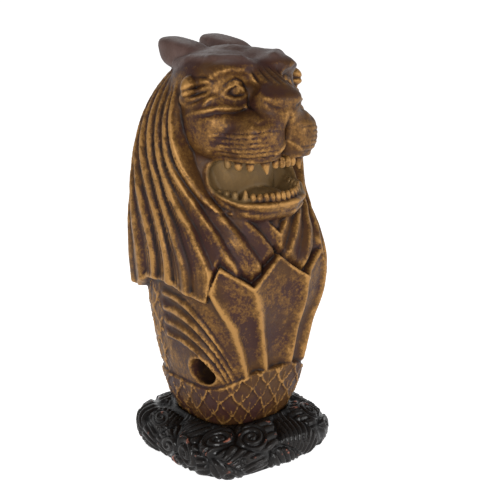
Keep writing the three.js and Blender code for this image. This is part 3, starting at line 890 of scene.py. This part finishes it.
def curls(base, along_ring, up):
    """Ridges and swell of the curls, spiral at the heart and bowed outside, and how far apart they are."""
    rows, columns = base.shape[:2]
    chance = np.random.default_rng(CURL_SEED)
    best = np.full((rows, columns), 9.0)
    second = np.full((rows, columns), 9.0)
    ridge = np.zeros((rows, columns))
    swell = np.zeros((rows, columns))
    for row_share, number, size in CURL_ROWS:
        for i in range(number):
            row = int(rows * (row_share + chance.uniform(-0.05, 0.05)))
            column = int(columns * (i + chance.uniform(-0.3, 0.3) + row_share) / number) % columns
            away = base - base[row, column]
            across = (away * along_ring[row, column]).sum(2)
            above = (away * up[row, column]).sum(2)
            tilt = chance.uniform(-0.9, 0.9)
            long_way = across * math.cos(tilt) + above * math.sin(tilt)
            short_way = above * math.cos(tilt) - across * math.sin(tilt)
            own_size = size * chance.uniform(0.8, 1.25)
            distance = np.sqrt((long_way * 0.5) ** 2 + short_way**2 + (0.3 * (away**2).sum(2)))
            share = distance / own_size
            hand = 1 if chance.random() < 0.5 else -1
            turns = distance / CURL_PITCH + hand * np.arctan2(short_way, long_way) / (2 * PI)
            lean = hand * chance.uniform(0.3, 1.2)
            bowed = across * math.sin(lean) + above * math.cos(lean) + CURL_BOW * across**2
            turns = np.where(share < chance.uniform(0.15, 0.7), turns, bowed / CURL_PITCH)
            nearer = share < best
            second = np.where(nearer, best, np.minimum(second, share))
            ridge = np.where(nearer, np.abs(np.sin(PI * turns)) ** 0.8, ridge)
            swell = np.where(nearer, np.sqrt(np.clip(1 - share**2, 0, 1)), swell)
            best = np.where(nearer, share, best)
    return ridge, swell, ease((second - best) / CURL_PARTING)


def plinth_faces(rows, columns):
    """Quads between the rows, and fans of triangles that close the bottom and the seat."""
    i, j = np.meshgrid(np.arange(rows), np.arange(columns), indexing="ij")
    following = (j + 1) % columns
    ring = [i * columns + j, i * columns + following, (i + 1) * columns + following, (i + 1) * columns + j]
    faces = np.stack(ring, axis=-1).reshape(-1, 4).tolist()
    bottom = (rows + 1) * columns
    for k in range(columns):
        after = (k + 1) % columns
        faces.append([bottom, after, k])
        faces.append([bottom + 1, rows * columns + k, rows * columns + after])
    return faces


def build_plinth():
    base = plinth_base()
    rows, columns = base.shape[:2]
    along_ring = np.roll(base, -1, axis=1) - np.roll(base, 1, axis=1)
    up = np.gradient(base, axis=0)
    normal = np.cross(along_ring, up)
    for direction in (normal, along_ring, up):
        direction /= np.linalg.norm(direction, axis=2, keepdims=True)
    ridge, swell, apart = curls(base, along_ring, up)
    row = np.arange(rows)
    fade = ease(row / FADE_ROWS_LOW)[:, None] * ease((rows - 1 - row) / FADE_ROWS_HIGH)[:, None]
    curl_height = CURL_RELIEF * (ridge * apart - CURL_GROUND)
    relief = fade * (curl_height + SWELL_RELIEF * swell - CARVING_DEPTH)
    carved = base + normal * relief[:, :, None]
    limit = plinth_high[0] - PLINTH_GAP
    carved[:, :, :2] = np.clip(carved[:, :, :2], -limit, limit)
    carved[:, :, 2] = np.clip(carved[:, :, 2], 0, PLINTH_TOP)
    seat_level = figure_low[2] - SEAT_GAP
    seat_ring = carved[-1].copy()
    seat_ring[:, :2] *= SEAT_RING_SHARE
    seat_ring[:, 2] = seat_level
    points = np.concatenate([carved.reshape(-1, 3), seat_ring, [[0, 0, 0], [0, 0, seat_level]]])
    height = np.concatenate([(ridge * apart * fade).ravel(), np.zeros(columns + 2)])
    piece = mesh_object("carved_plinth", points, plinth_faces(rows, columns), {"ridge": height})
    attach(piece, "root")
    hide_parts("plinth")
    return piece


# Materials: colours in linear light

RED_GROUND = (0.034, 0.013, 0.010)
BROWN_GROUND = (0.054, 0.023, 0.007)
# Painted shade: near black laid into the carving's hollows
HOLLOW_SHADE = (0.010, 0.005, 0.004)
THIN_GOLD = (0.140, 0.068, 0.019)
BRIGHT_GOLD = (0.31, 0.162, 0.050)
# Crown colours: dark plum lacquer, greyed and lightened by a painted sheen of overhead light
CROWN_SHEEN_DARK = (0.062, 0.034, 0.028)
CROWN_SHEEN_PALE = (0.104, 0.062, 0.052)
DARK_OLIVE = (0.11, 0.066, 0.026)
PALE_OLIVE = (0.20, 0.13, 0.056)
# Painted shade: near black laid over the drilled hole
DRILL_SHADE = (0.006, 0.004, 0.003)
LACQUER_BLACK = (0.002, 0.0015, 0.0015)
# Painted sheen: a lighter grey on the crests of the plinth's curls
LACQUER_RIDGE_SHEEN = (0.010, 0.008, 0.007)
RED_CHIP = (0.24, 0.085, 0.055)
FLOOR_WHITE = (0.86, 0.86, 0.86)
FLOOR_GLOW = 0.75


class Nodes:
    """Short calls for building a material's nodes."""

    def __init__(self, name):
        self.material = bpy.data.materials.new(name)
        self.material.use_nodes = True
        self.tree = self.material.node_tree
        self.shader = self.tree.nodes["Principled BSDF"]
        self.place = self.tree.nodes.new("ShaderNodeTexCoord").outputs["Object"]

    def link(self, value, socket):
        if hasattr(value, "is_linked"):
            self.tree.links.new(value, socket)
        elif isinstance(value, tuple):
            socket.default_value = (*value, 1.0)
        else:
            socket.default_value = value

    def surface(self, **values):
        """Sets the shader's inputs, named with underscores for spaces."""
        for name, value in values.items():
            self.link(value, self.shader.inputs[name.replace("_", " ")])

    def attribute(self, name):
        node = self.tree.nodes.new("ShaderNodeAttribute")
        node.attribute_name = name
        return node.outputs["Fac"]

    def math(self, operation, a, b):
        node = self.tree.nodes.new("ShaderNodeMath")
        node.operation = operation
        self.link(a, node.inputs[0])
        self.link(b, node.inputs[1])
        return node.outputs[0]

    def plus(self, a, b):
        return self.math("ADD", a, b)

    def minus(self, a, b):
        return self.math("SUBTRACT", a, b)

    def times(self, a, b):
        return self.math("MULTIPLY", a, b)

    def about_half(self, value, strength):
        """Value less a half, times a strength."""
        return self.times(self.minus(value, 0.5), strength)

    def stretch(self, scale):
        node = self.tree.nodes.new("ShaderNodeMapping")
        self.tree.links.new(self.place, node.inputs["Vector"])
        node.inputs["Scale"].default_value = scale
        return node.outputs[0]

    def noise(self, scale, detail, roughness, stretch=None):
        node = self.tree.nodes.new("ShaderNodeTexNoise")
        place = self.stretch(stretch) if stretch else self.place
        self.tree.links.new(place, node.inputs["Vector"])
        node.inputs["Scale"].default_value = scale
        node.inputs["Detail"].default_value = detail
        node.inputs["Roughness"].default_value = roughness
        return node.outputs["Fac"]

    def rescale(self, value, low, high, to_low=0.0, to_high=1.0):
        node = self.tree.nodes.new("ShaderNodeMapRange")
        node.interpolation_type = "SMOOTHSTEP"
        self.link(value, node.inputs["Value"])
        node.inputs["From Min"].default_value = low
        node.inputs["From Max"].default_value = high
        node.inputs["To Min"].default_value = to_low
        node.inputs["To Max"].default_value = to_high
        return node.outputs["Result"]

    def mix(self, share, a, b):
        node = self.tree.nodes.new("ShaderNodeMix")
        node.data_type = "RGBA"
        self.link(share, node.inputs[0])
        self.link(a, node.inputs[6])
        self.link(b, node.inputs[7])
        return node.outputs[2]

    def bump(self, height, strength, distance):
        node = self.tree.nodes.new("ShaderNodeBump")
        node.inputs["Strength"].default_value = strength
        node.inputs["Distance"].default_value = distance
        self.link(height, node.inputs["Height"])
        self.tree.links.new(node.outputs["Normal"], self.shader.inputs["Normal"])


def gold_cover(n, fine, patches, grains, streaks, crown):
    """Where gold lies: kept on the ridges and in patches, and rubbed through elsewhere."""
    broken = n.rescale(n.noise(70, 6, 0.7), 0.36, 0.64, 0.15, 1.5)
    raised = n.times(n.times(fine, 0.8), broken)
    raised = n.plus(raised, n.times(n.attribute("broad_ridge"), 0.34))
    cover = n.plus(raised, n.about_half(patches, 5.5))
    cover = n.plus(cover, n.about_half(grains, 4.2))
    cover = n.plus(cover, n.about_half(streaks, 2.8))
    cover = n.minus(cover, n.times(crown, 3.0))
    return n.minus(cover, n.attribute("rubbed"))


def worn_gilding():
    n = Nodes("worn_gilding")
    fine = n.attribute("fine_ridge")
    crown = n.attribute("crown")
    patches = n.times(n.plus(n.noise(24, 6, 0.62), n.noise(75, 6, 0.65)), 0.5)
    grains = n.noise(260, 6, 0.72)
    streaks = n.noise(30, 5, 0.6, stretch=(1.0, 1.0, 0.22))
    cover = gold_cover(n, fine, patches, grains, streaks, crown)
    thin_gold = n.rescale(cover, -0.5, 0.75)
    bright_gold = n.rescale(cover, 0.5, 1.7)

    ground = n.mix(n.rescale(n.noise(14, 4, 0.6), 0.42, 0.6), RED_GROUND, BROWN_GROUND)
    # Painted shade: the ground darkens to near black in the hollows, where fine_ridge is low
    ground = n.mix(n.rescale(fine, -1.4, 0.0), HOLLOW_SHADE, ground)
    base = n.mix(thin_gold, ground, THIN_GOLD)
    base = n.mix(bright_gold, base, BRIGHT_GOLD)
    # Painted sheen: the crown's dark lacquer is greyed and lightened in patches, as overhead light glosses
    # it
    crown_sheen = n.mix(n.rescale(patches, 0.35, 0.7), CROWN_SHEEN_DARK, CROWN_SHEEN_PALE)
    base = n.mix(n.times(crown, 0.9), base, crown_sheen)
    olive = n.mix(grains, DARK_OLIVE, PALE_OLIVE)
    base = n.mix(n.times(n.attribute("mouth"), 0.8), base, olive)
    # Painted shade: near black over the drilled hole
    base = n.mix(n.attribute("drill"), base, DRILL_SHADE)
    rough = n.rescale(grains, 0.3, 0.7, 0.36, 0.58)
    n.surface(Base_Color=base, Metallic=n.times(thin_gold, 0.5), Roughness=rough)
    n.surface(Specular_IOR_Level=0.12, Coat_Weight=0.03, Coat_Roughness=0.3)
    n.bump(n.plus(n.times(grains, 0.6), n.times(streaks, 0.9)), 0.45, 0.0015)
    return n.material


def black_lacquer():
    n = Nodes("black_lacquer")
    ridge = n.attribute("ridge")
    grains = n.noise(120, 5, 0.65)
    chips = n.noise(38, 5, 0.6)
    worn = n.times(n.rescale(chips, 0.60, 0.66), n.rescale(ridge, 0.6, 0.95))
    # Painted sheen on the curl crests, with red chips where the lacquer is worn
    base = n.mix(worn, n.mix(ridge, LACQUER_BLACK, LACQUER_RIDGE_SHEEN), RED_CHIP)
    n.surface(Base_Color=base, Roughness=n.rescale(grains, 0.3, 0.7, 0.16, 0.36))
    n.surface(Specular_IOR_Level=0.16, Coat_Weight=0.08, Coat_Roughness=0.14)
    n.bump(n.plus(grains, n.times(chips, 0.6)), 0.3, 0.001)
    return n.material


def plain_floor():
    n = Nodes("plain_floor")
    n.surface(Base_Color=FLOOR_WHITE, Roughness=0.85)
    n.surface(Emission_Color=(1.0, 1.0, 1.0), Emission_Strength=FLOOR_GLOW)
    return n.material


# Stage: lights by name, place, size in metres and power in watts

FLOOR_SIZE = 14.0
HORIZON_LIGHT = 1.1
SKY_LIGHT = 0.3
FADE_START = 0.2
FADE_END = 0.5
LIGHT_AIM = (0, 0, 0.35)
LIGHTS = (
    ("key", (-1.7, -1.6, 1.1), 0.8, 34),
    ("fill", (1.1, -2.0, 0.8), 1.0, 15),
    ("back", (0.5, 1.4, 1.7), 1.0, 6),
)


def add_camera():
    side = math.sin(CAMERA_TURN)
    front = math.cos(CAMERA_TURN)
    aim = Vector((0, 0, CAMERA_AIM_HEIGHT)) + Vector((front, side, 0)) * CAMERA_AIM_SHIFT
    place = Vector((CAMERA_DISTANCE * side, -CAMERA_DISTANCE * front, CAMERA_HEIGHT))
    data = bpy.data.cameras.new("camera")
    data.sensor_width = SENSOR
    data.lens = FOCAL_PIXELS * SENSOR / IMAGE_SIZE
    camera = bpy.data.objects.new("camera", data)
    camera.location = place
    camera.rotation_euler = (aim - place).to_track_quat("-Z", "Y").to_euler()
    bpy.context.scene.collection.objects.link(camera)
    bpy.context.scene.camera = camera


def add_light(name, place, size, power):
    data = bpy.data.lights.new(name, "AREA")
    data.size = size
    data.energy = power
    light = bpy.data.objects.new(name, data)
    light.location = place
    light.rotation_euler = (Vector(LIGHT_AIM) - Vector(place)).to_track_quat("-Z", "Y").to_euler()
    bpy.context.scene.collection.objects.link(light)


def studio_world():
    """White surroundings, brighter at the horizon than overhead."""
    world = bpy.data.worlds.new("studio")
    world.use_nodes = True
    nodes = world.node_tree.nodes
    links = world.node_tree.links
    place = nodes.new("ShaderNodeTexCoord")
    split = nodes.new("ShaderNodeSeparateXYZ")
    fade = nodes.new("ShaderNodeMapRange")
    fade.inputs["From Min"].default_value = FADE_START
    fade.inputs["From Max"].default_value = FADE_END
    fade.inputs["To Min"].default_value = HORIZON_LIGHT
    fade.inputs["To Max"].default_value = SKY_LIGHT
    links.new(place.outputs["Generated"], split.inputs["Vector"])
    links.new(split.outputs["Z"], fade.inputs["Value"])
    links.new(fade.outputs["Result"], nodes["Background"].inputs["Strength"])
    nodes["Background"].inputs["Color"].default_value = (1, 1, 1, 1)
    return world


def add_stage():
    bpy.ops.mesh.primitive_plane_add(size=FLOOR_SIZE)
    floor = bpy.context.object
    floor.name = "floor"
    floor.data.materials.append(plain_floor())
    bpy.context.scene.world = studio_world()
    for light in LIGHTS:
        add_light(*light)
    bpy.context.scene.view_settings.view_transform = "Standard"


add_camera()
add_stage()
figure = build_figure()
figure.data.materials.append(worn_gilding())
plinth = build_plinth()
plinth.data.materials.append(black_lacquer())

bpy.context.view_layer.update()
